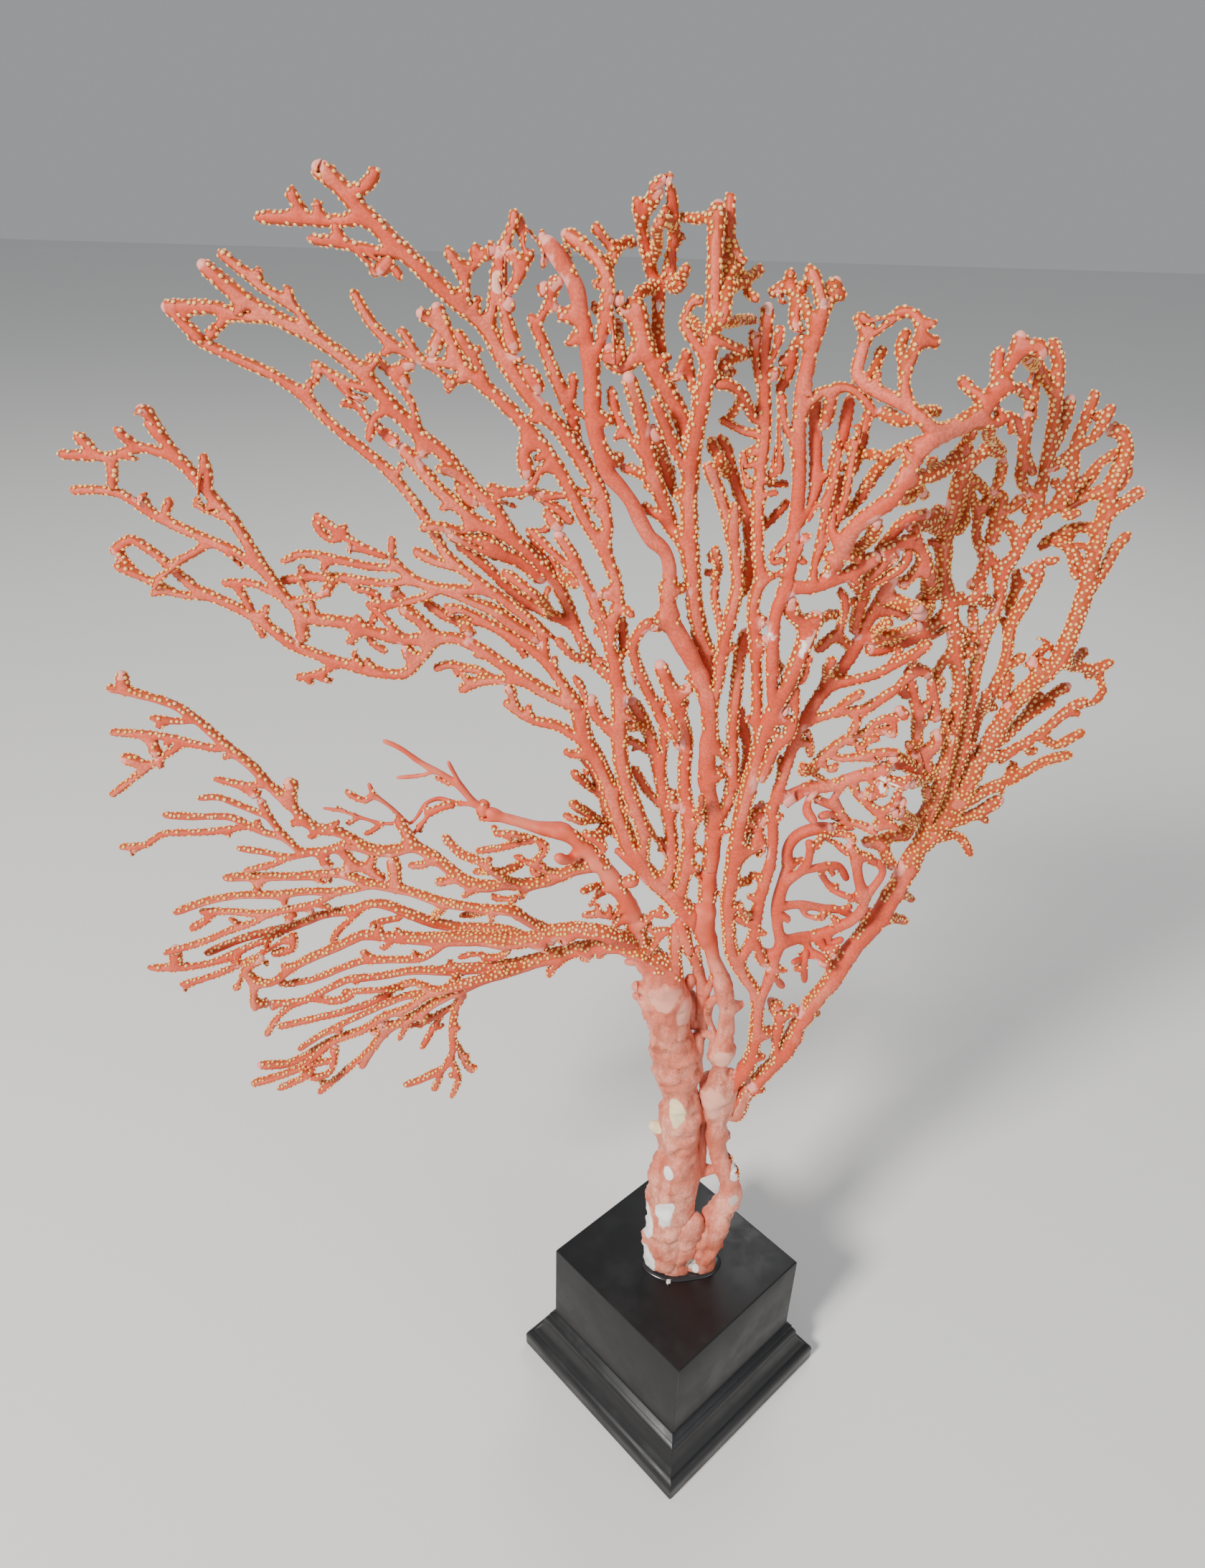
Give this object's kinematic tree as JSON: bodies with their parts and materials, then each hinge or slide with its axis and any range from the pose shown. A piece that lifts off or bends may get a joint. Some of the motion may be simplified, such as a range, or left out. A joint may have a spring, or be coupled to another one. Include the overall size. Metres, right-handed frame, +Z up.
{
  "type": "sea fan on a plinth",
  "caption": "Dried red sea fan, a branching gorgonian coral in one flat spray, standing upright on a square black moulded plinth.",
  "frame": {"origin": "centre of the plinth's underside, on the surface it stands on", "axes": "+Z up; the front of the fan faces -Y; the fan's sheet lies about in the XZ plane and the square plinth is turned 43.7 degrees to it"},
  "size_m": [0.2894, 0.1156, 0.422],
  "materials": {
    "plinth": "satin black paint",
    "main_stem": "dry, matt, worn coral skin",
    "side_stem": "dry, matt, worn coral skin",
    "inner_stem": "dry, matt, worn coral skin",
    "left_limb": "dry, matt coral skin with small beads",
    "centre_limb": "dry, matt coral skin with small beads",
    "middle_left_limb": "dry, matt coral skin with small beads",
    "middle_limb_a": "dry, matt coral skin with small beads",
    "middle_limb_b": "dry, matt coral skin with small beads",
    "middle_limb_c": "dry, matt coral skin with small beads",
    "middle_limb_d": "dry, matt coral skin with small beads",
    "top_limb_a": "dry, matt coral skin with small beads",
    "top_limb_b": "dry, matt coral skin with small beads",
    "top_limb_c": "dry, matt coral skin with small beads",
    "top_limb_d": "dry, matt coral skin with small beads",
    "top_limb_e": "dry, matt coral skin with small beads",
    "top_limb_f": "dry, matt coral skin with small beads",
    "upright_limb": "dry, matt coral skin with small beads",
    "short_left_limb": "dry, matt coral skin with small beads",
    "lower_left_limb": "dry, matt coral skin with small beads",
    "far_left_limb": "dry, matt coral skin with small beads",
    "left_lower_loop": "dry, matt coral skin with small beads",
    "left_bundle_top": "dry, matt coral skin with small beads",
    "left_bundle_upper": "dry, matt coral skin with small beads",
    "left_bundle_middle": "dry, matt coral skin with small beads",
    "left_bundle_lower": "dry, matt coral skin with small beads",
    "left_bundle_bottom": "dry, matt coral skin with small beads",
    "upper_left_limb_a": "dry, matt coral skin with small beads",
    "upper_left_limb_b": "dry, matt coral skin with small beads",
    "upper_left_limb_c": "dry, matt coral skin with small beads",
    "upper_left_limb_d": "dry, matt coral skin with small beads",
    "upper_left_limb_e": "dry, matt coral skin with small beads",
    "right_centre_limb": "dry, matt coral skin with small beads",
    "right_net_lower": "dry, matt coral skin with small beads",
    "right_net_upper": "dry, matt coral skin with small beads",
    "right_limb": "dry, matt coral skin with small beads",
    "upper_right_limb_a": "dry, matt coral skin with small beads",
    "upper_right_limb_b": "dry, matt coral skin with small beads",
    "right_lobe_inner": "dry, matt coral skin with small beads",
    "right_lobe_left": "dry, matt coral skin with small beads",
    "right_lobe_middle": "dry, matt coral skin with small beads",
    "right_lobe_outer": "dry, matt coral skin with small beads",
    "right_lobe_top": "dry, matt coral skin with small beads"
  },
  "bodies": {
    "root": {"plinth": "plinth", "main_stem": "main_stem", "side_stem": "side_stem", "inner_stem": "inner_stem", "left_limb": "left_limb", "centre_limb": "centre_limb", "middle_left_limb": "middle_left_limb", "middle_limb_a": "middle_limb_a", "middle_limb_b": "middle_limb_b", "middle_limb_c": "middle_limb_c", "middle_limb_d": "middle_limb_d", "top_limb_a": "top_limb_a", "top_limb_b": "top_limb_b", "top_limb_c": "top_limb_c", "top_limb_d": "top_limb_d", "top_limb_e": "top_limb_e", "top_limb_f": "top_limb_f", "upright_limb": "upright_limb", "short_left_limb": "short_left_limb", "lower_left_limb": "lower_left_limb", "far_left_limb": "far_left_limb", "left_lower_loop": "left_lower_loop", "left_bundle_top": "left_bundle_top", "left_bundle_upper": "left_bundle_upper", "left_bundle_middle": "left_bundle_middle", "left_bundle_lower": "left_bundle_lower", "left_bundle_bottom": "left_bundle_bottom", "upper_left_limb_a": "upper_left_limb_a", "upper_left_limb_b": "upper_left_limb_b", "upper_left_limb_c": "upper_left_limb_c", "upper_left_limb_d": "upper_left_limb_d", "upper_left_limb_e": "upper_left_limb_e", "right_centre_limb": "right_centre_limb", "right_net_lower": "right_net_lower", "right_net_upper": "right_net_upper", "right_limb": "right_limb", "upper_right_limb_a": "upper_right_limb_a", "upper_right_limb_b": "upper_right_limb_b", "right_lobe_inner": "right_lobe_inner", "right_lobe_left": "right_lobe_left", "right_lobe_middle": "right_lobe_middle", "right_lobe_outer": "right_lobe_outer", "right_lobe_top": "right_lobe_top"}
  },
  "joints": []
}
